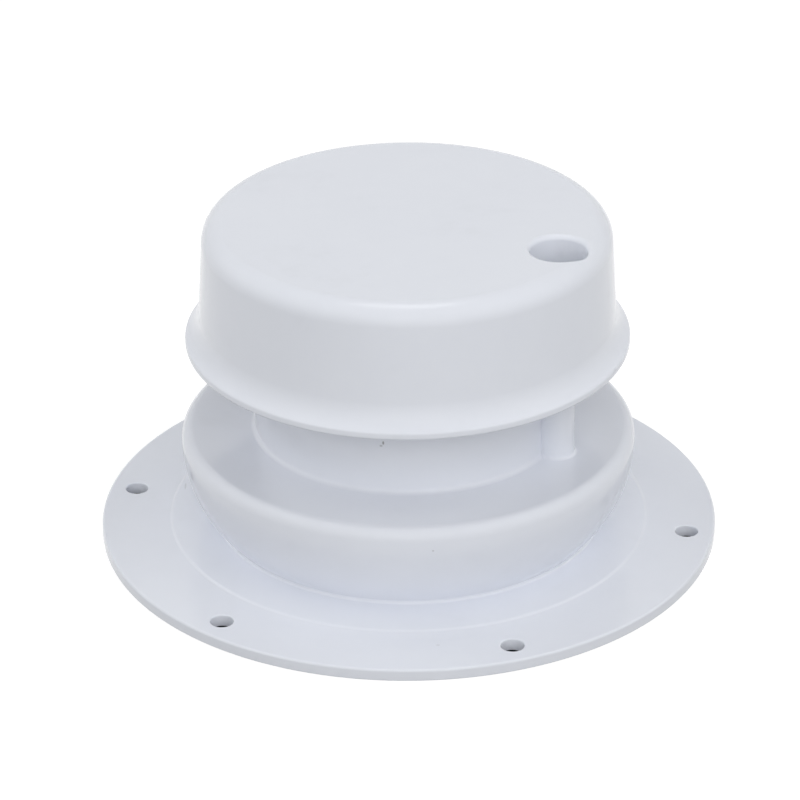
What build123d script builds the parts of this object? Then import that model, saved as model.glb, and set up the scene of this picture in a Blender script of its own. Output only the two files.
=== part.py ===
from build123d import *
import math
import os

# Roof and deck vent in two mouldings: a flanged base with an upright neck, and a cap held by one screw.
# Millimetres. +Z points up out of the deck, and the origin is the centre of the flange's underside.
# The front of the vent faces -Y. Angles are measured from +X, counter-clockwise seen from above.

# Flange and drum of the base
flange_width = 18.0  # flat ring outside the drum's foot
flange_thickness = 3.0
flange_edge_radius = 1.3
flange_lower_edge = 0.5
foot_reach = 2.4  # how far the foot fillet runs out beyond the drum
drum_radius = 55.6
drum_undercut = 5.4  # how far the waist draws in under the drum's widest line
waist_rise = 5.03  # height of the waist above the flange
waist_blend_radius = 1.8
shoulder_height = 28.3
shoulder_thickness = 2.6
rim_fillet_radius = 3.0
rim_straight = 0.1  # upright run between the rim fillet and the drum's widest line
base_wall = 2.4
core_draft = 1.0  # degrees
core_corner_radius = 1.5

# Screw holes of the flange
screw_hole_count = 6
screw_hole_radius = 2.75
screw_hole_edge_margin = 6.7
screw_hole_first_angle = -9.85
screw_hole_soft_edge = 0.35

# Neck, which the pipe comes up in
neck_bore_radius = 34.75
neck_wall = 2.3
neck_draft = 0.8  # degrees
neck_foot_fillet = 1.2
neck_mouth_radius = 0.6
bore_lead_in = 0.8

# Heights of the vent gap, the overlap that keeps rain out, and the room above the neck
vent_gap = 22.9
rain_overlap = 12.8
cap_headroom = 16.1

# Gussets under the shoulder
gusset_count = 6
gusset_thickness = 2.0
gusset_drop = 15.0
gusset_inner_drop = 3.5
gusset_inner_margin = 1.6

# Cap
cap_top_thickness = 2.45
cap_wall = 2.2
cap_edge_radius = 5.1
cap_draft = 3.35  # degrees
recess_to_cap_side = 3.15
flare_height = 7.8
lip_reach = 3.45
lip_thickness = 1.8
lip_edge_radius = 0.7
lip_lower_width = 1.3
lip_inner_edge = 0.3

# Screw boss of the base and the recess of the cap
boss_radius = 4.5
boss_clear_of_bore = 0.15
boss_rise = 3.8  # above the neck's mouth
boss_foot_fillet = 0.8
boss_soft_edge = 0.4
boss_angle = -25.4
recess_radius = 6.85
recess_soft_edge = 0.45
sleeve_wall = 2.0
sleeve_cover = 0.2  # into the cap's top, which is thin over the sleeve beside the rounded edge
ledge_thickness = 2.4
cap_seat_gap = 0.1

# Ribs that centre the cap on the neck
cap_rib_count = 6  # places around the cap, one of them taken by the screw sleeve
cap_rib_thickness = 1.8
cap_rib_neck_cover = 5.0  # inward past the neck's outer face
cap_rib_hang = 6.5  # below the neck's mouth, outside it
cap_rib_neck_clearance = 0.3

# Cap screw and its washer
screw_radius = 2.1
screw_length = 16.0
screw_tip_length = 3.0
screw_tip_radius = 0.4
screw_hole_clearance = 0.25
pilot_clearance = 0.05
pilot_end_clearance = 2.0
head_radius = 4.1
head_height = 2.7
head_rim_height = 1.0
head_soft_edge = 0.4
driver_arm_length = 4.6
driver_arm_width = 1.15
driver_depth = 1.5
driver_taper = 12.0  # degrees
washer_radius = 5.2
washer_thickness = 0.9
washer_bore_clearance = 0.1
washer_edge = 0.15

# How far a cutting tool runs past the faces that it cuts
overrun = 1.0

# Sizes that follow from the ones above
waist_radius = drum_radius - drum_undercut
waist_height = flange_thickness + waist_rise
drum_widest_height = shoulder_height - rim_fillet_radius - rim_straight
foot_outer_radius = drum_radius + foot_reach
flange_radius = foot_outer_radius + flange_width
screw_circle_radius = flange_radius - screw_hole_edge_margin
core_radius = waist_radius - base_wall
shoulder_underside = shoulder_height - shoulder_thickness
lip_height = shoulder_height + vent_gap
neck_top = lip_height + rain_overlap
ceiling_height = neck_top + cap_headroom
cap_top = ceiling_height + cap_top_thickness
neck_top_radius = neck_bore_radius + neck_wall
neck_foot_radius = neck_top_radius + (neck_top - shoulder_height) * math.tan(math.radians(neck_draft))
screw_offset = neck_bore_radius + boss_clear_of_bore + boss_radius
screw_x = screw_offset * math.cos(math.radians(boss_angle))
screw_y = screw_offset * math.sin(math.radians(boss_angle))
boss_top = neck_top + boss_rise
ledge_underside = boss_top + cap_seat_gap
ledge_top = ledge_underside + ledge_thickness
washer_top = ledge_top + washer_thickness
screw_tip = washer_top - screw_length
cap_shoulder_radius = screw_offset + recess_radius + recess_to_cap_side


def corner(sketch, x, z):
    """The sketch's corner nearest to the point (x, z) of the profile."""
    return sketch.vertices().sort_by_distance((x, z))[0]


def base_profile():
    """Flange, drum, shoulder and neck as one turned profile."""
    core_top_radius = core_radius - shoulder_underside * math.tan(math.radians(core_draft))
    with BuildSketch() as profile:
        with BuildLine():
            Polyline(
                (core_radius, 0),
                (flange_radius, 0),
                (flange_radius, flange_thickness),
                (foot_outer_radius, flange_thickness),
            )
            TangentArc(
                (foot_outer_radius, flange_thickness),
                (waist_radius, waist_height),
                tangent=(-1, 0),
            )
            TangentArc(
                (drum_radius, drum_widest_height),
                (waist_radius, waist_height),
                tangent=(0, -1),
            )
            Polyline(
                (drum_radius, drum_widest_height),
                (drum_radius, shoulder_height),
                (neck_foot_radius, shoulder_height),
                (neck_top_radius, neck_top),
                (neck_bore_radius, neck_top),
                (neck_bore_radius, shoulder_underside),
                (core_top_radius, shoulder_underside),
                (core_radius, 0),
            )
        make_face()
        fillet(corner(profile, flange_radius, flange_thickness), flange_edge_radius)
        fillet(corner(profile, flange_radius, 0), flange_lower_edge)
        fillet(corner(profile, waist_radius, waist_height), waist_blend_radius)
        fillet(corner(profile, drum_radius, shoulder_height), rim_fillet_radius)
        fillet(corner(profile, neck_foot_radius, shoulder_height), neck_foot_fillet)
        fillet(corner(profile, neck_top_radius, neck_top), neck_mouth_radius)
        fillet(corner(profile, neck_bore_radius, neck_top), neck_mouth_radius)
        chamfer(corner(profile, neck_bore_radius, shoulder_underside), bore_lead_in)
        fillet(corner(profile, core_top_radius, shoulder_underside), core_corner_radius)
    return profile.sketch


def turned(sketch):
    """The solid that a profile sweeps round the vent's axis."""
    return revolve(Plane.XZ * sketch, Axis.Z)


def upright_cylinder(x, y, radius, bottom, top):
    """A cylinder along +Z that stands over (x, y)."""
    blank = Cylinder(radius, top - bottom, align=(Align.CENTER, Align.CENTER, Align.MIN))
    return Pos(x, y, bottom) * blank


def radial_plate(outline, thickness, angle):
    """A flat web that stands on a radius of the vent, from its outline in (radius, height)."""
    blank = extrude(Plane.XZ * make_face(Polyline(*outline, close=True)), thickness / 2, both=True)
    return Rot(0, 0, angle) * blank


def screw_boss():
    """The column that takes the cap screw, with a flared foot, about its own axis."""
    with BuildSketch() as profile:
        with BuildLine():
            Polyline(
                (boss_radius, shoulder_height + boss_foot_fillet),
                (boss_radius, boss_top),
                (0, boss_top),
                (0, shoulder_underside),
                (boss_radius + boss_foot_fillet, shoulder_underside),
                (boss_radius + boss_foot_fillet, shoulder_height),
            )
            CenterArc(
                (boss_radius + boss_foot_fillet, shoulder_height + boss_foot_fillet),
                boss_foot_fillet,
                180,
                90,
            )
        make_face()
        fillet(corner(profile, boss_radius, boss_top), boss_soft_edge)
    return turned(profile.sketch)


def build_base():
    body = turned(base_profile())
    bore = upright_cylinder(0, 0, neck_bore_radius, 0, boss_top)
    body += Pos(screw_x, screw_y, 0) * screw_boss() - bore
    gusset_inner = neck_bore_radius + gusset_inner_margin
    gusset_outer = core_radius + base_wall / 2
    gusset = [
        (gusset_inner, shoulder_height - shoulder_thickness / 2),
        (gusset_outer, shoulder_height - shoulder_thickness / 2),
        (gusset_outer, shoulder_underside - gusset_drop),
        (gusset_inner, shoulder_underside - gusset_inner_drop),
    ]
    for n in range(gusset_count):
        angle = screw_hole_first_angle + 360 / gusset_count * (n + 0.5)
        body += radial_plate(gusset, gusset_thickness, angle)
    for n in range(screw_hole_count):
        angle = math.radians(screw_hole_first_angle + 360 / screw_hole_count * n)
        x = screw_circle_radius * math.cos(angle)
        y = screw_circle_radius * math.sin(angle)
        body -= upright_cylinder(x, y, screw_hole_radius, -overrun, flange_thickness + overrun)
    hole_rims = [
        edge
        for edge in body.edges().filter_by(GeomType.CIRCLE)
        if abs(edge.radius - screw_hole_radius) < 1e-6 and abs(edge.center().Z - flange_thickness) < 1e-6
    ]
    body = fillet(hole_rims, screw_hole_soft_edge)
    pilot_bottom = screw_tip - pilot_end_clearance
    body -= upright_cylinder(
        screw_x, screw_y, screw_radius + pilot_clearance, pilot_bottom, boss_top + overrun
    )
    return body


def cap_profile():
    """Top, rounded edge, drafted skirt and flared lip of the cap as one turned profile."""
    slope = math.tan(math.radians(cap_draft))
    flare_start = lip_height + flare_height
    down_the_skirt = (slope, -1)
    top_radius = cap_shoulder_radius - cap_edge_radius * slope
    flare_radius = cap_shoulder_radius + (cap_top - cap_edge_radius - flare_start) * slope
    lip_radius = flare_radius + lip_reach
    inner_top_radius = top_radius - cap_wall + cap_top_thickness * slope
    inner_flare_radius = flare_radius - cap_wall
    lip_lower_radius = lip_radius - lip_lower_width
    with BuildSketch() as profile:
        with BuildLine():
            Polyline(
                (flare_radius, flare_start),
                (top_radius, cap_top),
                (0, cap_top),
                (0, ceiling_height),
                (inner_top_radius, ceiling_height),
                (inner_flare_radius, flare_start),
            )
            TangentArc(
                (inner_flare_radius, flare_start),
                (lip_lower_radius, lip_height),
                tangent=down_the_skirt,
            )
            Polyline(
                (lip_lower_radius, lip_height),
                (lip_radius, lip_height),
                (lip_radius, lip_height + lip_thickness),
            )
            TangentArc(
                (flare_radius, flare_start),
                (lip_radius, lip_height + lip_thickness),
                tangent=down_the_skirt,
            )
        make_face()
        fillet(corner(profile, top_radius, cap_top), cap_edge_radius)
        fillet(corner(profile, inner_top_radius, ceiling_height), cap_edge_radius - cap_wall)
        fillet(corner(profile, lip_radius, lip_height), lip_edge_radius)
        fillet(corner(profile, lip_radius, lip_height + lip_thickness), lip_edge_radius)
        fillet(corner(profile, lip_lower_radius, lip_height), lip_inner_edge)
    return profile.sketch


def build_cap():
    slope = math.tan(math.radians(cap_draft))
    body = turned(cap_profile())
    rib_top = cap_top - cap_top_thickness / 2
    skirt_middle = cap_shoulder_radius - cap_wall / 2
    rib_foot = neck_top - cap_rib_hang
    rib_seat = neck_top + cap_seat_gap
    rib_inner = neck_top_radius - cap_rib_neck_cover
    foot_neck_radius = neck_top_radius + cap_rib_hang * math.tan(math.radians(neck_draft))
    rib_step = foot_neck_radius + cap_rib_neck_clearance
    rib_outer_foot = skirt_middle + (cap_top - cap_edge_radius - rib_foot) * slope
    rib = [
        (rib_inner, rib_top),
        (rib_inner, rib_seat),
        (rib_step, rib_seat),
        (rib_step, rib_foot),
        (rib_outer_foot, rib_foot),
        (skirt_middle, cap_top - cap_edge_radius),
        (cap_shoulder_radius - cap_edge_radius, rib_top),
    ]
    for n in range(1, cap_rib_count):
        body += radial_plate(rib, cap_rib_thickness, boss_angle + 360 / cap_rib_count * n)
    sleeve_top = ceiling_height + sleeve_cover
    body += upright_cylinder(screw_x, screw_y, recess_radius + sleeve_wall, ledge_underside, sleeve_top)
    body -= upright_cylinder(screw_x, screw_y, recess_radius, ledge_top, cap_top + overrun)
    body -= upright_cylinder(
        screw_x, screw_y, screw_radius + screw_hole_clearance, ledge_underside - overrun, cap_top
    )
    recess_rim = [
        edge
        for edge in body.edges()
        if edge.center().Z > cap_top - cap_edge_radius / 2
        and math.dist(tuple(edge.center())[:2], (screw_x, screw_y)) < recess_radius + recess_soft_edge
    ]
    return fillet(recess_rim, recess_soft_edge)


def build_screw():
    """Pan-head screw with a cross recess; the shank is plain, at the size over its thread."""
    head_top = washer_top + head_height
    rim_top = washer_top + head_rim_height
    with BuildSketch() as profile:
        with BuildLine():
            Polyline(
                (0, head_top),
                (0, screw_tip),
                (screw_tip_radius, screw_tip),
                (screw_radius, screw_tip + screw_tip_length),
                (screw_radius, washer_top),
                (head_radius, washer_top),
                (head_radius, rim_top),
            )
            TangentArc((0, head_top), (head_radius, rim_top), tangent=(1, 0))
        make_face()
        fillet(corner(profile, head_radius, rim_top), head_soft_edge)
    arms = Rectangle(driver_arm_length, driver_arm_width) + Rectangle(driver_arm_width, driver_arm_length)
    recess = extrude(Pos(0, 0, head_top) * arms, -driver_depth, taper=driver_taper)
    return Pos(screw_x, screw_y, 0) * (turned(profile.sketch) - recess)


def build_washer():
    blank = upright_cylinder(screw_x, screw_y, washer_radius, ledge_top, washer_top)
    blank = chamfer(blank.edges().filter_by(GeomType.CIRCLE), washer_edge)
    bore_radius = screw_radius + washer_bore_clearance
    return blank - upright_cylinder(
        screw_x, screw_y, bore_radius, ledge_top - overrun, washer_top + overrun
    )


parts = {
    "vent_base": build_base(),
    "vent_cap": build_cap(),
    "cap_washer": build_washer(),
    "cap_screw": build_screw(),
}
os.makedirs("parts", exist_ok=True)
for name, solid in parts.items():
    export_step(solid, f"parts/{name}.step")
    print(name, "volume", round(solid.volume, 1))
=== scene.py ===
import math

import bpy
from mathutils import Matrix, Vector


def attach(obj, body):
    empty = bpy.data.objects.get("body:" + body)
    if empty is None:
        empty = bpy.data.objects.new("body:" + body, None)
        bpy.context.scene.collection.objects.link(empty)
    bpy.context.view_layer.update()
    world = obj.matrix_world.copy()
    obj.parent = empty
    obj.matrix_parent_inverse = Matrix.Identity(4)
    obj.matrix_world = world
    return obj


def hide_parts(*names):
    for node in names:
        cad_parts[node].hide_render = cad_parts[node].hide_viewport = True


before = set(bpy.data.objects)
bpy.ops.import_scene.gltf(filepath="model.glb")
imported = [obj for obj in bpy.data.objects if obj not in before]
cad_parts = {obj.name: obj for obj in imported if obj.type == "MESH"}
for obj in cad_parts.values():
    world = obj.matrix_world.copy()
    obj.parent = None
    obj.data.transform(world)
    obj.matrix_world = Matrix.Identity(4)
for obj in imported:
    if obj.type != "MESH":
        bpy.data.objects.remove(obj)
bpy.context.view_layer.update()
mm = 0.001
fullTurn = 2 * math.pi
print("frame loaded:", sorted(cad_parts))


# Small helpers for modelling by operator. The smoothing angle is in degrees and the bevel's in radians.

care = {"onAxis": 1e-9, "merge": 0.002, "bevelAngle": 0.6, "smoothAngle": 32, "normalWeight": 60}


def clearSelection():
    if bpy.context.object and bpy.context.object.mode != "OBJECT":
        bpy.ops.object.mode_set(mode="OBJECT")
    bpy.ops.object.select_all(action="DESELECT")


def pick(piece):
    clearSelection()
    piece.select_set(True)
    bpy.context.view_layer.objects.active = piece


def editAll(piece):
    pick(piece)
    bpy.ops.object.mode_set(mode="EDIT")
    bpy.ops.mesh.select_mode(type="VERT")
    bpy.ops.mesh.select_all(action="SELECT")


def leaveEdit():
    bpy.ops.object.mode_set(mode="OBJECT")


def closeMesh(piece):
    editAll(piece)
    bpy.ops.mesh.remove_doubles(threshold=care["merge"] * mm)
    bpy.ops.mesh.normals_make_consistent(inside=False)
    leaveEdit()


def shiftMesh(piece, across, along):
    editAll(piece)
    bpy.ops.transform.translate(value=(across * mm, along * mm, 0))
    leaveEdit()


def outlineLoop(name, points):
    # A circle's vertices are laid along the outline, which stands in the XZ plane.
    clearSelection()
    bpy.ops.mesh.primitive_circle_add(vertices=len(points), radius=mm)
    piece = bpy.context.object
    piece.name = name
    piece.data.name = name
    for vertex, (across, height) in zip(piece.data.vertices, points):
        vertex.co = (across * mm, 0, height * mm)
    return piece


def turnProfile(name, points, steps=256, centre=(0, 0)):
    # The outline is spun round the Z axis. An edge that lies along the axis is deleted first.
    piece = outlineLoop(name, points)
    onAxis = [abs(vertex.co.x) < care["onAxis"] for vertex in piece.data.vertices]
    if any(onAxis):
        editAll(piece)
        bpy.ops.mesh.select_mode(type="EDGE")
        bpy.ops.mesh.select_all(action="DESELECT")
        leaveEdit()
        for edge in piece.data.edges:
            edge.select = all(onAxis[v] for v in edge.vertices)
        bpy.ops.object.mode_set(mode="EDIT")
        bpy.ops.mesh.delete(type="EDGE_FACE")
        leaveEdit()
    editAll(piece)
    bpy.ops.mesh.spin(steps=steps, angle=fullTurn, center=(0, 0, 0), axis=(0, 0, 1))
    leaveEdit()
    closeMesh(piece)
    if centre != (0, 0):
        shiftMesh(piece, *centre)
    return piece


def turnedRing(name, points, steps, circle, angles):
    # Turned tools on a circle round the vent's axis, one at each angle
    tools = []
    for angle in angles:
        turn = math.radians(angle)
        tools.append(turnProfile(name, points, steps, (circle * math.cos(turn), circle * math.sin(turn))))
    return tools


def plateFromOutline(name, points, thickness, angle, edge=0.0):
    # A flat web on a radius of the vent: its outline is filled, extruded, softened and turned into place.
    piece = outlineLoop(name, points)
    editAll(piece)
    bpy.ops.mesh.edge_face_add()
    bpy.ops.transform.translate(value=(0, -thickness / 2 * mm, 0))
    bpy.ops.mesh.extrude_region_move(TRANSFORM_OT_translate={"value": (0, thickness * mm, 0)})
    leaveEdit()
    closeMesh(piece)
    if edge:
        softenEdges(piece, edge)
    turnRound(piece, angle)
    return piece


def turnRound(piece, angle):
    # The piece is the selected one.
    piece.rotation_euler[2] = math.radians(angle)
    bpy.ops.object.transform_apply(location=False, rotation=True, scale=False)


def useModifier(piece, kind, **settings):
    pick(piece)
    bpy.ops.object.modifier_add(type=kind)
    modifier = piece.modifiers[-1]
    for name, value in settings.items():
        setattr(modifier, name, value)
    bpy.ops.object.modifier_apply(modifier=modifier.name)


def softenEdges(piece, width):
    useModifier(piece, "BEVEL", width=width * mm, segments=2, limit_method="ANGLE",
                angle_limit=care["bevelAngle"])


def combine(piece, tool, operation):
    useModifier(piece, "BOOLEAN", object=tool, operation=operation, solver="EXACT")
    bpy.data.objects.remove(tool)


def joinTools(tools):
    pick(tools[0])
    for tool in tools[1:]:
        tool.select_set(True)
    bpy.ops.object.join()
    return tools[0]


def finishShading(piece):
    closeMesh(piece)
    pick(piece)
    bpy.ops.object.shade_smooth_by_angle(angle=math.radians(care["smoothAngle"]))
    useModifier(piece, "WEIGHTED_NORMAL", weight=care["normalWeight"], keep_sharp=True)


# Points along profiles, in millimetres as (radius, height)

def rodPoints(radius, low, high):
    return [(0, low), (radius, low), (radius, high), (0, high)]


def arcPoints(centre, radius, start, end, steps):
    points = []
    for n in range(steps + 1):
        turn = math.radians(start + (end - start) * n / steps)
        points.append((centre[0] + radius * math.cos(turn), centre[1] + radius * math.sin(turn)))
    return points


def angleAt(centre, point):
    return math.degrees(math.atan2(point[1] - centre[1], point[0] - centre[0]))


def tangentArc(start, direction, end, steps):
    # The arc that leaves start along direction and passes through end.
    length = math.hypot(*direction)
    ux, uy = direction[0] / length, direction[1] / length
    dx, dy = end[0] - start[0], end[1] - start[1]
    across = -uy * dx + ux * dy
    radius = (dx * dx + dy * dy) / (2 * across)
    centre = (start[0] - uy * radius, start[1] + ux * radius)
    first, last = angleAt(centre, start), angleAt(centre, end)
    if radius > 0 and last < first:
        last += 360
    if radius < 0 and last > first:
        last -= 360
    return arcPoints(centre, abs(radius), first, last, steps)


def circleCrossing(start, slope, centre, reach):
    # The first point at this distance from centre on the line that leaves start inward and rises by slope.
    ux, uy = -math.cos(slope), math.sin(slope)
    dx, dy = start[0] - centre[0], start[1] - centre[1]
    half = dx * ux + dy * uy
    run = -half - math.sqrt(half**2 - dx**2 - dy**2 + reach**2)
    return (start[0] + run * ux, start[1] + run * uy)


def offsetLine(points, distance):
    # The same run of points moved sideways, away from the wall when distance is positive.
    moved = []
    for n, point in enumerate(points):
        a, b = points[max(n - 1, 0)], points[min(n + 1, len(points) - 1)]
        dx, dz = b[0] - a[0], b[1] - a[1]
        size = math.hypot(dx, dz)
        moved.append((point[0] + dz / size * distance, point[1] - dx / size * distance))
    return moved


def roundCorners(path):
    # path holds points (r, z) and corners (r, z, radius, steps); a corner becomes an arc,
    # and points that the arc covers, or nearly, are left out.
    nearly = 0.01
    count = len(path)
    arcs = {}
    for n, corner in enumerate(path):
        if len(corner) == 2:
            continue
        here = Vector(corner[:2])
        before = Vector(path[(n - 1) % count][:2]) - here
        after = Vector(path[(n + 1) % count][:2]) - here
        u, v = before.normalized(), after.normalized()
        half = u.angle(v) / 2
        run = corner[2] / math.tan(half)
        centre = here + (u + v).normalized() * (corner[2] / math.sin(half))
        first = angleAt(centre, here + u * run)
        last = angleAt(centre, here + v * run)
        if last - first > 180:
            last -= 360
        if last - first < -180:
            last += 360
        arcs[n] = (here, run, arcPoints(centre, corner[2], first, last, corner[3]))
    points = []
    for n, corner in enumerate(path):
        if n in arcs:
            points += arcs[n][2]
            continue
        here = Vector(corner)
        if all((here - place).length > run + nearly for place, run, _ in arcs.values()):
            points.append(tuple(here))
    return points


# The base: flange, waisted drum, shoulder and neck in one moulding, with the screw boss

vent = {
    "flangeRadius": 76.0, "flangeThickness": 3.0, "flangeEdge": 0.6, "flangeLowerEdge": 0.4,
    "lowBulge": (50.2, 8.03), "drumRadius": 55.6, "widest": 25.2,
    "shoulder": 28.3, "rimFillet": 3.0, "underShoulder": 25.7,
    "coreRadius": 45.9, "coreTop": 45.45, "coreFillet": 1.5,
    "neckFoot": 37.549, "neckFillet": 1.2, "neckTop": 64.0, "neckEdge": 0.6, "neckRadius": 37.05,
    "boreRadius": 34.75, "boreChamfer": 0.8,
    "screw": (35.5914, -16.9000), "screwAngle": -25.4, "firstHole": -9.85,
}
# The drum's foot is a shallow cone whose edge is a low step: its points lie this far out and down.
foot = {
    "flangeEnd": 62.5, "edge": (58.5, 3.4), "step": ((0.95, 0.3), (0.55, 0.21), (0.18, 0.04)),
    "slope": 3.0, "coneShares": (0, 0.04, 0.35, 0.7), "waistRound": 0.6,
}


def drumOutline():
    # From the flange the step, the cone, the round waist and the drum's bulge, tangent from the cone on
    v = vent
    drop, undercut = v["widest"] - v["lowBulge"][1], v["drumRadius"] - v["lowBulge"][0]
    bulgeCurve = (drop**2 + undercut**2) / (2 * undercut)
    bulgeCentre = (v["drumRadius"] - bulgeCurve, v["widest"])
    edgeRadius, edgeHeight = foot["edge"]
    slope, small = math.radians(foot["slope"]), foot["waistRound"]
    start = (edgeRadius + small * math.sin(slope), edgeHeight + small * math.cos(slope))
    centre = circleCrossing(start, slope, bulgeCentre, bulgeCurve + small)
    touch = angleAt(bulgeCentre, centre)
    waist = arcPoints(centre, small, 270 - foot["slope"], touch + 180, 14)
    bulge = arcPoints(bulgeCentre, bulgeCurve, touch, 0, 24)
    waistRadius, waistHeight = waist[0]
    cone = [(edgeRadius - share * (edgeRadius - waistRadius), edgeHeight + share * (waistHeight - edgeHeight))
            for share in foot["coneShares"]]
    step = [(edgeRadius + out, edgeHeight - down) for out, down in foot["step"]]
    print("waist at radius", round(min(point[0] for point in waist), 2))
    return [(foot["flangeEnd"], v["flangeThickness"]), *step, *cone, *waist, *bulge[1:]]


def makeBoss():
    # The screw's column, cut to the neck's wall so that its root stays out of the bore
    boss = {
        "radius": 4.5, "top": 67.8, "edge": 0.4, "flare": 0.8, "flareStart": 258,
        "root": 6.16, "bottom": 27.0, "sunk": 0.2, "pilot": 2.15, "pilotChamfer": 0.3,
        "pilotEnd": 53.2, "pilotCone": 0.6, "wall": 35.7, "wallLow": 20, "wallHigh": 60,
    }
    flareCentre = (boss["radius"] + boss["flare"], vent["shoulder"] + boss["flare"])
    path = [
        (0, boss["bottom"]), (boss["root"], boss["bottom"]), (boss["root"], vent["shoulder"] - boss["sunk"]),
        *arcPoints(flareCentre, boss["flare"], boss["flareStart"], 180, 8),
        (boss["radius"], boss["top"], boss["edge"], 6),
        (boss["pilot"] + boss["pilotChamfer"], boss["top"]),
        (boss["pilot"], boss["top"] - boss["pilotChamfer"]),
        (boss["pilot"], boss["pilotEnd"]),
        (0, boss["pilotEnd"] - boss["pilotCone"]),
    ]
    column = turnProfile("boss", roundCorners(path), 72, vent["screw"])
    inside = turnProfile("insideOfWall", rodPoints(boss["wall"], boss["wallLow"], boss["wallHigh"]))
    combine(column, inside, "DIFFERENCE")
    return column


def makeWebs(outer):
    # Six gussets under the shoulder, each half way between two screw holes
    gusset = {"inner": 36.35, "outer": 46.6, "top": 27.0, "innerFoot": 22.2, "outerFoot": 10.7, "thick": 2.0,
              "edge": 0.35, "halfWay": 30}
    outline = [(gusset["inner"], gusset["top"]), (gusset["outer"], gusset["top"]),
               (gusset["outer"], gusset["outerFoot"]), (gusset["inner"], gusset["innerFoot"])]
    webs = [plateFromOutline("gusset", outline, gusset["thick"],
                             vent["firstHole"] + 60 * n + gusset["halfWay"], gusset["edge"]) for n in range(6)]

    # A fine witness line of the mould's two side slides runs up the bulge on each side. It begins above the
    # waist and ends below the rim.
    line = {"width": 0.3, "proud": 0.07, "sunk": 0.8, "low": 6.5, "high": 24.6}
    run = [point for point in outer if line["low"] < point[1] < line["high"]]
    ridge = [*offsetLine(run, line["proud"]), *reversed(offsetLine(run, -line["sunk"]))]
    webs += [plateFromOutline("slideLine", ridge, line["width"], angle) for angle in (0, 180)]
    return webs


def makeBase():
    v = vent
    outer = drumOutline()
    path = [
        (v["coreRadius"], 0),
        (v["flangeRadius"], 0, v["flangeLowerEdge"], 4),
        (v["flangeRadius"], v["flangeThickness"], v["flangeEdge"], 6),
        *outer,
        (v["drumRadius"], v["shoulder"], v["rimFillet"], 12),
        (v["neckFoot"], v["shoulder"], v["neckFillet"], 8),
        (v["neckRadius"], v["neckTop"], v["neckEdge"], 6),
        (v["boreRadius"], v["neckTop"], v["neckEdge"], 6),
        (v["boreRadius"], v["underShoulder"] + v["boreChamfer"]),
        (v["boreRadius"] + v["boreChamfer"], v["underShoulder"]),
        (v["coreTop"], v["underShoulder"], v["coreFillet"], 8),
    ]
    base = turnProfile("ventBase", roundCorners(path))
    print("base turned:", len(base.data.polygons), "faces")
    combine(base, joinTools([makeBoss(), *makeWebs(outer)]), "UNION")

    # Six screw holes, whose mouths are rounded by an edge
    hole = {"radius": 2.75, "edge": 0.35, "circle": 69.3, "below": -1, "mouth": 4.2, "over": 3.2, "above": 4}
    rimCentre = (hole["radius"] + hole["edge"], v["flangeThickness"] - hole["edge"])
    rim = arcPoints(rimCentre, hole["edge"], 180, 100, 5)
    drill = [(0, hole["below"]), (hole["radius"], hole["below"]), *rim, (hole["mouth"], hole["over"]),
             (hole["mouth"], hole["above"]), (0, hole["above"])]
    drills = turnedRing("drill", drill, 64, hole["circle"], [v["firstHole"] + 60 * n for n in range(6)])
    combine(base, joinTools(drills), "DIFFERENCE")

    # Round marks of the ejector pins on the shoulder's underside
    pin = {"radius": 2.2, "low": 25.0, "high": 25.85, "circle": 41.0}
    mark = rodPoints(pin["radius"], pin["low"], pin["high"])
    combine(base, joinTools(turnedRing("pin", mark, 32, pin["circle"], range(50, 410, 60))), "DIFFERENCE")
    finishShading(base)
    print("base finished:", len(base.data.polygons), "faces")
    return base


# The cap: rounded top edge, drafted skirt, flared lip, screw recess and centring ribs

cap = {
    "top": 82.55, "ceiling": 80.1, "shoulderRadius": 49.4, "draft": 3.35, "edge": 5.1, "wall": 2.2,
    "flatRings": (10, 20, 31), "flareStart": 59.0, "lip": 51.2, "lipReach": 3.45, "lipThickness": 1.8,
    "lipEdge": 0.7, "lipLower": 1.3, "lipInnerEdge": 0.3,
}
# The recess lies in a sleeve. Beyond the mouth its cutter stands clear of the top, at these radii and rises.
recess = {
    "radius": 6.85, "floor": 70.3, "floorEdge": 0.5, "mouthEdge": 1.3, "over": 3,
    "clear": ((8.3, 0.03), (8.6, 0.10), (8.9, 0.20), (9.3, 0.40)),
    "sleeve": 8.85, "sleeveEdge": 0.4, "sleeveLow": 67.9, "sleeveTop": 80.3,
    "hole": 2.35, "holeWider": 0.5, "holeCone": 0.25, "holeLow": 60, "holeHigh": 72,
}


def topDrop(distance):
    # How far the cap's rounded edge lies below its flat top at this distance from the axis.
    slope = math.tan(math.radians(cap["draft"]))
    corner = cap["shoulderRadius"] - cap["edge"] * slope
    start = corner - cap["edge"] * math.tan(math.radians(45 - cap["draft"] / 2))
    nearlyAll = 0.99
    over = min(max(distance - start, 0), cap["edge"] * nearlyAll)
    return cap["edge"] - math.sqrt(cap["edge"] ** 2 - over**2)


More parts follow.
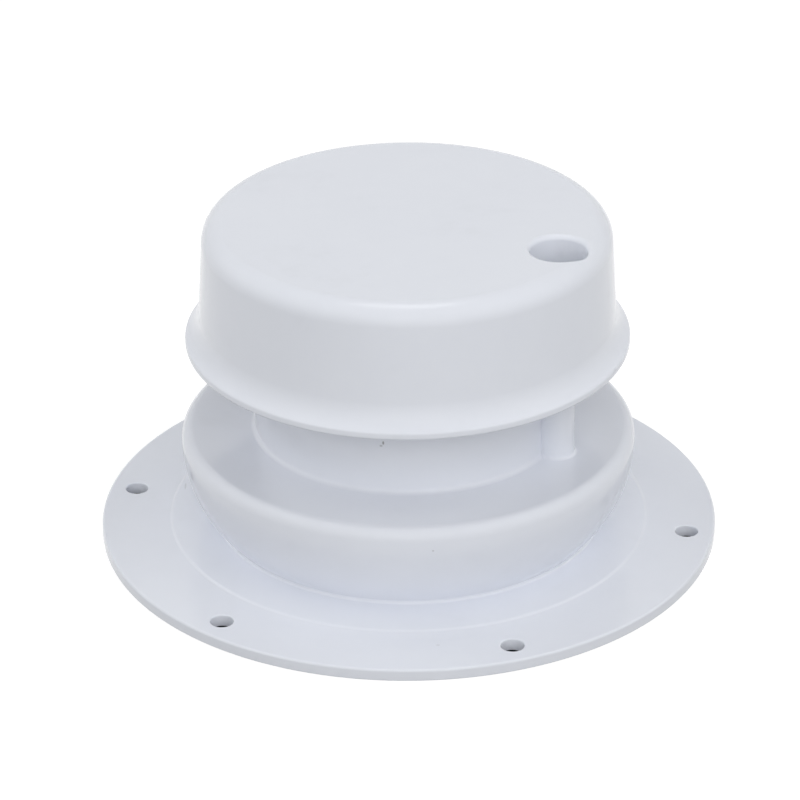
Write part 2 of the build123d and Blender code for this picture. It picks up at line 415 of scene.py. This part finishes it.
def capPath():
    c = cap
    slope = math.tan(math.radians(c["draft"]))
    topRadius = c["shoulderRadius"] - c["edge"] * slope
    flareRadius = c["shoulderRadius"] + (c["top"] - c["edge"] - c["flareStart"]) * slope
    lipRadius = flareRadius + c["lipReach"]
    lipTop = c["lip"] + c["lipThickness"]
    lowerRadius = lipRadius - c["lipLower"]
    innerTop = topRadius - c["wall"] + (c["top"] - c["ceiling"]) * slope
    innerFlare = flareRadius - c["wall"]
    outerFlare = tangentArc((flareRadius, c["flareStart"]), (slope, -1), (lipRadius, lipTop), 16)
    innerFlareArc = tangentArc((innerFlare, c["flareStart"]), (slope, -1), (lowerRadius, c["lip"]), 16)
    return [
        (0, c["top"]), *((radius, c["top"]) for radius in c["flatRings"]),
        (topRadius, c["top"], c["edge"], 20),
        *outerFlare[:-1],
        (lipRadius, lipTop, c["lipEdge"], 8),
        (lipRadius, c["lip"], c["lipEdge"], 8),
        (lowerRadius, c["lip"], c["lipInnerEdge"], 4),
        *reversed(innerFlareArc[:-1]),
        (innerTop, c["ceiling"], c["edge"] - c["wall"], 10),
        *((radius, c["ceiling"]) for radius in reversed(c["flatRings"])), (0, c["ceiling"]),
    ]


def makeRibs():
    # Five stepped ribs centre the cap on the neck. The recess's sleeve stands in the sixth place.
    rib = {"top": 81.3, "inner": 32.05, "seat": 64.1, "step": 37.44, "foot": 57.5, "outer": 48.3,
           "outerFoot": 49.45, "edgeTop": 77.45, "corner": 44.3, "thick": 1.8, "edge": 0.3}
    outline = [(rib["inner"], rib["top"]), (rib["inner"], rib["seat"]), (rib["step"], rib["seat"]),
               (rib["step"], rib["foot"]), (rib["outerFoot"], rib["foot"]), (rib["outer"], rib["edgeTop"]),
               (rib["corner"], rib["top"])]
    ribs = [plateFromOutline("rib", outline, rib["thick"], vent["screwAngle"] + 60 * n, rib["edge"])
            for n in range(1, 6)]
    r = recess
    sleeve = [(0, r["sleeveLow"]), (r["sleeve"], r["sleeveLow"], r["sleeveEdge"], 5),
              (r["sleeve"], r["sleeveTop"]), (0, r["sleeveTop"])]
    ribs.append(turnProfile("sleeve", roundCorners(sleeve), 128, vent["screw"]))
    return ribs


def makeRecessCutter():
    # The cutter's mouth flares out and follows the rounded edge of the top.
    r, top = recess, cap["top"]
    mouthFoot = top - r["mouthEdge"]
    mouth = arcPoints((r["radius"] + r["mouthEdge"], mouthFoot), r["mouthEdge"], 180, 97, 14)
    clear = [(radius, top + rise) for radius, rise in r["clear"]]
    path = [(0, r["floor"]), (r["radius"] - r["floorEdge"], r["floor"]),
            (r["radius"], r["floor"] + r["floorEdge"]), *mouth, *clear,
            (clear[-1][0], top + r["over"]), (0, top + r["over"])]
    cutter = turnProfile("recessCutter", path, 128, vent["screw"])
    margin = {"below": 0.01, "above": 1}
    for vertex in cutter.data.vertices:
        if mouthFoot - margin["below"] < vertex.co.z / mm < top + margin["above"]:
            vertex.co.z -= topDrop(math.hypot(vertex.co.x, vertex.co.y) / mm) * mm
    return cutter


def makeCap():
    piece = turnProfile("ventCap", roundCorners(capPath()))
    print("cap turned:", len(piece.data.polygons), "faces")
    combine(piece, joinTools(makeRibs()), "UNION")
    combine(piece, makeRecessCutter(), "DIFFERENCE")
    r = recess
    wide = r["hole"] + r["holeWider"]
    drill = [(0, r["holeLow"]), (r["hole"], r["holeLow"]), (r["hole"], r["floor"] - r["holeCone"]),
             (wide, r["floor"] + r["holeCone"]), (wide, r["holeHigh"]), (0, r["holeHigh"])]
    combine(piece, turnProfile("screwDrill", drill, 48, vent["screw"]), "DIFFERENCE")

    # Ejector pin marks in the ceiling, and the stub of the gate at its centre
    pin = {"radius": 2.6, "low": 79.0, "high": 80.25, "circle": 24.0}
    mark = rodPoints(pin["radius"], pin["low"], pin["high"])
    combine(piece, joinTools(turnedRing("pin", mark, 40, pin["circle"], range(0, 360, 60))), "DIFFERENCE")
    gate = [(0, 80.6), (1.5, 80.6), (1.3, 79.75), (0.9, 79.6), (0.3, 79.66), (0, 79.66)]
    combine(piece, turnProfile("gate", gate, 40), "UNION")
    finishShading(piece)
    print("cap finished:", len(piece.data.polygons), "faces")
    return piece


# The cap screw and its washer

screw = {
    "headTop": 73.9, "rimTop": 72.2, "underHead": 71.2, "headRadius": 4.1, "rimEdge": 0.4,
    "underEdge": 0.15, "neckFillet": 0.25, "crest": 2.1, "root": 1.55, "pitch": 1.41,
    "tip": 55.2, "tipStart": 58.2, "tipRadius": 0.35, "tipRise": 0.25,
}


def makeThread():
    # The thread is a small wedge swept up the shank, tapered at the tip and run out under the head.
    s = screw
    wedge = {"sunk": 0.2, "halfRoot": 0.42, "halfCrest": 0.05, "fromTip": 0.5, "fromHead": 0.7, "steps": 40,
             "tipShare": 0.2, "runOut": 0.3, "runOutLead": 0.6, "runOutLength": 0.9}
    start, end = s["tip"] + wedge["fromTip"], s["underHead"] - wedge["fromHead"]
    turns = (end - start) / s["pitch"]
    root = s["root"] - wedge["sunk"]
    outline = [(root, start - wedge["halfRoot"]), (s["crest"], start - wedge["halfCrest"]),
               (s["crest"], start + wedge["halfCrest"]), (root, start + wedge["halfRoot"])]
    thread = outlineLoop("thread", outline)
    steps = round(wedge["steps"] * turns)
    useModifier(thread, "SCREW", axis="Z", angle=fullTurn * turns, screw_offset=s["pitch"] * turns * mm,
                steps=steps, render_steps=steps, iterations=1, use_merge_vertices=False)
    editAll(thread)
    bpy.ops.mesh.fill_holes(sides=4)
    leaveEdit()
    thin, fade = wedge["tipShare"], wedge["runOut"]
    for vertex in thread.data.vertices:
        height = vertex.co.z / mm
        narrow = thin + (1 - thin) * (height - s["tip"]) / (s["tipStart"] - s["tip"])
        faded = 1 - fade * (height - end + wedge["runOutLead"]) / wedge["runOutLength"]
        share = min(1, max(thin, narrow)) * min(1, max(1 - fade, faded))
        vertex.co.x *= share
        vertex.co.y *= share
    closeMesh(thread)
    return thread


def makeDriverCross():
    # Two tapered blades, wide at the top and narrow at the floor. Each share widens or narrows one end.
    cross = {"arm": 2.3, "halfWidth": 0.575, "depth": 1.5, "above": 0.5, "edge": 0.12, "angles": (18, 108),
             "highShares": (1.12, 1.1), "lowShares": (0.62, 0.75)}
    low, high = screw["headTop"] - cross["depth"], screw["headTop"] + cross["above"]
    blades = []
    for angle in cross["angles"]:
        clearSelection()
        bpy.ops.mesh.primitive_cube_add(size=1)
        blade = bpy.context.object
        for vertex in blade.data.vertices:
            shares, height = (cross["highShares"], high) if vertex.co.z > 0 else (cross["lowShares"], low)
            vertex.co = (vertex.co.x * 2 * cross["arm"] * mm * shares[0],
                         vertex.co.y * 2 * cross["halfWidth"] * mm * shares[1], height * mm)
        softenEdges(blade, cross["edge"])
        turnRound(blade, angle)
        blades.append(blade)
    combine(blades[0], blades[1], "UNION")
    return blades[0]


def makeScrew():
    s = screw
    dome = tangentArc((0, s["headTop"]), (1, 0), (s["headRadius"], s["rimTop"]), 12)
    path = [
        *dome[:-1],
        (s["headRadius"], s["rimTop"], s["rimEdge"], 5),
        (s["headRadius"], s["underHead"] + s["underEdge"]),
        (s["headRadius"] - s["underEdge"], s["underHead"]),
        (s["root"], s["underHead"], s["neckFillet"], 4),
        (s["root"], s["tipStart"]),
        (s["tipRadius"], s["tip"] + s["tipRise"]),
        (0, s["tip"]),
    ]
    piece = turnProfile("capScrew", roundCorners(path), 72)
    combine(piece, makeThread(), "UNION")
    combine(piece, makeDriverCross(), "DIFFERENCE")
    shiftMesh(piece, *vent["screw"])
    finishShading(piece)
    print("screw finished:", len(piece.data.polygons), "faces")
    return piece


def makeWasher():
    # It stands a hair above the recess's floor, so that the two faces don't coincide.
    washer = {"bore": 2.2, "radius": 5.2, "low": 70.31, "high": 71.2, "edge": 0.14}
    corners = (("bore", "low"), ("radius", "low"), ("radius", "high"), ("bore", "high"))
    path = [(washer[across], washer[height], washer["edge"], 3) for across, height in corners]
    piece = turnProfile("capWasher", roundCorners(path), 96, vent["screw"])
    finishShading(piece)
    return piece


# Materials

def nodeOf(tree, kind, **inputs):
    node = tree.nodes.new(kind)
    for name, value in inputs.items():
        node.inputs[name.replace("_", " ")].default_value = value
    return node


def startMaterial(name, offset):
    # Returned too are the plain object coordinates, and the same ones moved by offset.
    material = bpy.data.materials.new(name)
    material.use_nodes = True
    tree = material.node_tree
    tree.nodes.clear()
    output = tree.nodes.new("ShaderNodeOutputMaterial")
    shader = tree.nodes.new("ShaderNodeBsdfPrincipled")
    tree.links.new(shader.outputs["BSDF"], output.inputs["Surface"])
    place = tree.nodes.new("ShaderNodeTexCoord")
    mapping = nodeOf(tree, "ShaderNodeMapping", Location=offset)
    tree.links.new(place.outputs["Object"], mapping.inputs["Vector"])
    return material, tree, shader, place.outputs["Object"], mapping.outputs["Vector"]


def noiseOf(tree, vector, scale, detail, roughness):
    noise = nodeOf(tree, "ShaderNodeTexNoise", Scale=scale, Detail=detail, Roughness=roughness)
    tree.links.new(vector, noise.inputs["Vector"])
    return noise.outputs["Fac"]


def rangeOf(tree, value, low, high, toLow, toHigh):
    node = nodeOf(tree, "ShaderNodeMapRange", From_Min=low, From_Max=high, To_Min=toLow, To_Max=toHigh)
    tree.links.new(value, node.inputs["Value"])
    return node.outputs["Result"]


def mathOf(tree, operation, first, second):
    node = tree.nodes.new("ShaderNodeMath")
    node.operation = operation
    for socket, value in zip(node.inputs, (first, second)):
        if isinstance(value, (int, float)):
            socket.default_value = value
        else:
            tree.links.new(value, socket)
    return node.outputs["Value"]


def blendOf(tree, first, firstShare, second, secondShare):
    return mathOf(tree, "ADD", mathOf(tree, "MULTIPLY", first, firstShare),
                  mathOf(tree, "MULTIPLY", second, secondShare))


def vectorOf(tree, operation, vector, other):
    node = tree.nodes.new("ShaderNodeVectorMath")
    node.operation = operation
    tree.links.new(vector, node.inputs[0])
    node.inputs[1].default_value = other
    return node.outputs["Vector"]


def lengthOf(tree, vector):
    node = tree.nodes.new("ShaderNodeVectorMath")
    node.operation = "LENGTH"
    tree.links.new(vector, node.inputs[0])
    return node.outputs["Value"]


def mixShaders(tree, share, first, second, output):
    either = tree.nodes.new("ShaderNodeMixShader")
    for socket, source in zip(either.inputs, (share, first, second)):
        tree.links.new(source, socket)
    tree.links.new(either.outputs["Shader"], output.inputs["Surface"])


def rampOf(tree, value, stops):
    ramp = tree.nodes.new("ShaderNodeValToRGB")
    for n, (position, colour) in enumerate(stops):
        stop = ramp.color_ramp.elements[n] if n < 2 else ramp.color_ramp.elements.new(position)
        stop.position = position
        stop.color = (*colour, 1)
    tree.links.new(value, ramp.inputs["Fac"])
    return ramp.outputs["Color"]


def bumpOf(tree, shader, height, strength, distance):
    bump = nodeOf(tree, "ShaderNodeBump", Strength=strength, Distance=distance * mm)
    tree.links.new(height, bump.inputs["Height"])
    tree.links.new(bump.outputs["Normal"], shader.inputs["Normal"])


# White plastic. Each noise is given as its scale per metre, detail and roughness, and the bump as its
# strength and its depth in millimetres.
plastic = {
    "light": (0.852, 0.874, 0.930), "plain": (0.842, 0.864, 0.922), "worn": (0.824, 0.845, 0.900),
    "tones": (0.30, 0.42, 0.60), "clouds": (42, 4, 0.55), "cloudShare": 0.7,
    "patches": (210, 3, 0.6), "patchShare": 0.3, "dirt": (0.20, 0.19, 0.18, 1.0),
    "handling": (75, 5, 0.65), "handlingRange": (0.3, 0.7), "roughness": (0.10, 0.17), "ior": 1.5,
    "peel": (520, 2, 0.4), "drag": (1.0, 2, 0.5), "dragStretch": (900, 900, 14), "dragShare": 0.35,
    "bump": (0.10, 0.05),
}
# Small nicks and rubs that the photograph shows on the base, and a dark tick at the left of the foot, as
# places and half sizes in millimetres
baseMarks = {
    "nickUnderLip": {"at": (-6.0, -36.8, 41.6), "half": (0.26, 1.5, 0.55), "dark": 0.75},
    "nickTail": {"at": (-6.5, -36.8, 40.8), "half": (0.45, 1.5, 0.30), "dark": 0.40},
    "drumPit": {"at": (5.5, -55.3, 22.8), "half": (0.30, 1.5, 0.30), "dark": 0.28},
    "flangeRub": {"at": (6.5, -64.9, 3.0), "half": (0.55, 0.5, 1.5), "dark": 0.12},
    # A dark tick at the left of the foot, darkened in the colour like the marks above
    "footTick": {"at": (-56.1, 11.7, 3.5), "half": (0.28, 1.9, 1.5), "dark": 0.20},
}


def markMask(tree, place, mark):
    # The mark fades out between these two shares of its half size.
    fadeStart, fadeEnd = 0.5, 1.1
    off = vectorOf(tree, "SUBTRACT", place, [v * mm for v in mark["at"]])
    ratio = vectorOf(tree, "DIVIDE", off, [v * mm for v in mark["half"]])
    return rangeOf(tree, lengthOf(tree, ratio), fadeStart, fadeEnd, mark["dark"], 0.0)


def makePlastic(name, seed, marks):
    p = plastic
    material, tree, shader, place, vector = startMaterial(name, (seed, seed / 3, seed / 7))
    clouds = noiseOf(tree, vector, *p["clouds"])
    patches = noiseOf(tree, vector, *p["patches"])
    tone = blendOf(tree, clouds, p["cloudShare"], patches, p["patchShare"])
    colour = rampOf(tree, tone, list(zip(p["tones"], (p["worn"], p["plain"], p["light"]))))
    if marks:
        masks = [markMask(tree, place, mark) for mark in marks.values()]
        strongest = masks[0]
        for mask in masks[1:]:
            strongest = mathOf(tree, "MAXIMUM", strongest, mask)
        mix = nodeOf(tree, "ShaderNodeMix")
        mix.data_type = "RGBA"
        tree.links.new(strongest, mix.inputs["Factor"])
        tree.links.new(colour, mix.inputs["A"])
        mix.inputs["B"].default_value = p["dirt"]
        colour = mix.outputs["Result"]
    tree.links.new(colour, shader.inputs["Base Color"])
    handling = noiseOf(tree, vector, *p["handling"])
    roughness = rangeOf(tree, handling, *p["handlingRange"], *p["roughness"])
    tree.links.new(roughness, shader.inputs["Roughness"])
    shader.inputs["IOR"].default_value = p["ior"]
    # Slight orange peel of the mould's polish, with drag lines up the walls
    peel = noiseOf(tree, vector, *p["peel"])
    drag = nodeOf(tree, "ShaderNodeMapping", Scale=p["dragStretch"])
    tree.links.new(place, drag.inputs["Vector"])
    lines = noiseOf(tree, drag.outputs["Vector"], *p["drag"])
    height = mathOf(tree, "ADD", peel, mathOf(tree, "MULTIPLY", lines, p["dragShare"]))
    bumpOf(tree, shader, height, *p["bump"])
    return material


# Steel with fine rings round the screw's axis
steel = {
    "rings": {"Distortion": 1.2, "Detail": 2.0, "Detail_Scale": 3.0}, "ringShare": 0.4,
    "clouds": (900, 4, 0.6), "cloudShare": 0.6, "cloudRange": (0.3, 0.65), "darker": 0.82,
    "blendRange": (0.2, 0.8), "bump": (0.18, 0.02),
}
washerSteel = {"colour": (0.60, 0.60, 0.59), "roughness": (0.29, 0.42), "ringScale": 700.0}
screwSteel = {"colour": (0.66, 0.66, 0.65), "roughness": (0.17, 0.26), "ringScale": 1100.0}


def makeSteel(name, look):
    s = steel
    offset = (-vent["screw"][0] * mm, -vent["screw"][1] * mm, 0)
    material, tree, shader, _, vector = startMaterial(name, offset)
    rings = nodeOf(tree, "ShaderNodeTexWave", Scale=look["ringScale"], **s["rings"])
    rings.wave_type = "RINGS"
    rings.rings_direction = "Z"
    tree.links.new(vector, rings.inputs["Vector"])
    clouds = noiseOf(tree, vector, *s["clouds"])
    darker = tuple(c * s["darker"] for c in look["colour"])
    colour = rampOf(tree, clouds, list(zip(s["cloudRange"], (darker, look["colour"]))))
    tree.links.new(colour, shader.inputs["Base Color"])
    blend = blendOf(tree, rings.outputs["Fac"], s["ringShare"], clouds, s["cloudShare"])
    roughness = rangeOf(tree, blend, *s["blendRange"], *look["roughness"])
    tree.links.new(roughness, shader.inputs["Roughness"])
    shader.inputs["Metallic"].default_value = 1.0
    bumpOf(tree, shader, rings.outputs["Fac"], *s["bump"])
    return material


def dress(piece, material, body, node):
    piece.data.materials.clear()
    piece.data.materials.append(material)
    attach(piece, body)
    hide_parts(node)


dress(makeBase(), makePlastic("whiteBasePlastic", 0.31, baseMarks), "base", "vent_base")
dress(makeCap(), makePlastic("whiteCapPlastic", 0.87, {}), "cap", "vent_cap")
dress(makeWasher(), makeSteel("stampedWasherSteel", washerSteel), "washer", "cap_washer")
dress(makeScrew(), makeSteel("stainlessScrewSteel", screwSteel), "screw", "cap_screw")
print("pieces dressed")


# Stage: pale floor, soft lamps, camera. Sizes are in metres, and turns and rises in degrees.

stage = {
    "floorSize": 8.0, "floorColour": (0.38, 0.38, 0.38), "floorGlow": 0.78, "white": (1, 1, 1, 1),
    # The painted shadow on the floor under the vent: its radius, the width of its soft edge, and its colour
    "paintedShadeRadius": 0.0752, "paintedShadeEdge": 0.0002, "paintedShadeColour": (0.028, 0.030, 0.034),
    "worldColour": (0.93, 0.96, 1.0, 1), "worldLight": 0.21,
}
# Each lamp stands on a dome over the vent, turned from the front and raised from the floor. The large ones
# are scrims so soft that the plastic shows no image of them.
dome = {"middle": Vector((0, 0, 0.04)), "reach": 1.3}
lamps = {
    "top": {"turn": 180, "rise": 80, "size": 0.6, "power": 1.5, "mirrored": True},
    "front": {"turn": 0, "rise": 25, "size": 1.1, "power": 6.5, "mirrored": False},
    "frontRight": {"turn": 60, "rise": 43, "size": 1.2, "power": 4.5, "mirrored": False},
    "frontLeft": {"turn": -60, "rise": 45, "size": 1.2, "power": 2.5, "mirrored": False},
    "backRight": {"turn": 120, "rise": 22, "size": 0.9, "power": 2.5, "mirrored": False},
    "backLeft": {"turn": -120, "rise": 22, "size": 0.9, "power": 4.6, "mirrored": False},
}


def seenRays(tree):
    path = tree.nodes.new("ShaderNodeLightPath")
    seen = mathOf(tree, "MAXIMUM", path.outputs["Is Camera Ray"], path.outputs["Is Glossy Ray"])
    return mathOf(tree, "MAXIMUM", seen, path.outputs["Is Transmission Ray"])


def makeFloor():
    clearSelection()
    bpy.ops.mesh.primitive_plane_add(size=stage["floorSize"])
    floor = bpy.context.object
    floor.name = "studioFloor"
    material = bpy.data.materials.new("paleFloor")
    material.use_nodes = True
    tree = material.node_tree
    tree.nodes.clear()
    output = tree.nodes.new("ShaderNodeOutputMaterial")
    # Under the vent the floor is painted dark: a painted shadow that stands for the shade under the flange,
    # which the screw holes look through. The floor's glow is off there too.
    away = lengthOf(tree, tree.nodes.new("ShaderNodeTexCoord").outputs["Object"])
    rim = stage["paintedShadeRadius"]
    outsidePaintedShade = rangeOf(tree, away, rim, rim + stage["paintedShadeEdge"], 0.0, 1.0)
    colour = rampOf(tree, outsidePaintedShade, [(0.0, stage["paintedShadeColour"]), (1.0, stage["floorColour"])])
    plain = tree.nodes.new("ShaderNodeBsdfDiffuse")
    tree.links.new(colour, plain.inputs["Color"])
    glow = nodeOf(tree, "ShaderNodeEmission", Color=stage["white"])
    strength = mathOf(tree, "MULTIPLY", seenRays(tree), mathOf(tree, "MULTIPLY", outsidePaintedShade, stage["floorGlow"]))
    tree.links.new(strength, glow.inputs["Strength"])
    lit = tree.nodes.new("ShaderNodeAddShader")
    tree.links.new(plain.outputs["BSDF"], lit.inputs[0])
    tree.links.new(glow.outputs["Emission"], lit.inputs[1])
    # From below the floor is clear, so that the underside can be looked at.
    clear = tree.nodes.new("ShaderNodeBsdfTransparent")
    fromBelow = tree.nodes.new("ShaderNodeNewGeometry").outputs["Backfacing"]
    mixShaders(tree, fromBelow, lit.outputs["Shader"], clear.outputs["BSDF"], output)
    floor.data.materials.append(material)


def makeWorld():
    world = bpy.data.worlds.new("studioWorld")
    bpy.context.scene.world = world
    world.use_nodes = True
    tree = world.node_tree
    tree.nodes.clear()
    output = tree.nodes.new("ShaderNodeOutputWorld")
    light = nodeOf(tree, "ShaderNodeBackground", Color=stage["worldColour"], Strength=stage["worldLight"])
    white = nodeOf(tree, "ShaderNodeBackground", Color=stage["white"], Strength=1.0)
    mixShaders(tree, seenRays(tree), light.outputs["Background"], white.outputs["Background"], output)


def makeLamps():
    for name, lamp in lamps.items():
        turn, rise = math.radians(lamp["turn"]), math.radians(lamp["rise"])
        way = Vector((math.sin(turn) * math.cos(rise), -math.cos(turn) * math.cos(rise), math.sin(rise)))
        clearSelection()
        bpy.ops.object.light_add(type="AREA", location=dome["middle"] + way * dome["reach"])
        light = bpy.context.object
        light.name = name + "Lamp"
        light.data.shape = "DISK"
        light.data.size = lamp["size"]
        light.data.energy = lamp["power"]
        light.visible_glossy = lamp["mirrored"]
        light.rotation_mode = "QUATERNION"
        light.rotation_quaternion = (-way).to_track_quat("-Z", "Y")


def makeCamera():
    view = {"place": (-0.0019729, -0.8100651, 0.4581521), "tilt": 62.3445, "roll": -0.40555,
            "lens": 167.926, "sensor": 36.0, "near": 0.01}
    clearSelection()
    bpy.ops.object.camera_add(location=view["place"])
    camera = bpy.context.object
    camera.name = "photoCamera"
    tilt = Matrix.Rotation(math.radians(view["tilt"]), 3, "X")
    roll = Matrix.Rotation(math.radians(view["roll"]), 3, "Z")
    camera.rotation_mode = "QUATERNION"
    camera.rotation_quaternion = (tilt @ roll).to_quaternion()
    camera.data.lens = view["lens"]
    camera.data.sensor_width = view["sensor"]
    camera.data.clip_start = view["near"]
    bpy.context.scene.camera = camera


makeFloor()
makeWorld()
makeLamps()
makeCamera()
bpy.context.scene.view_settings.view_transform = "Standard"
print("stage ready")
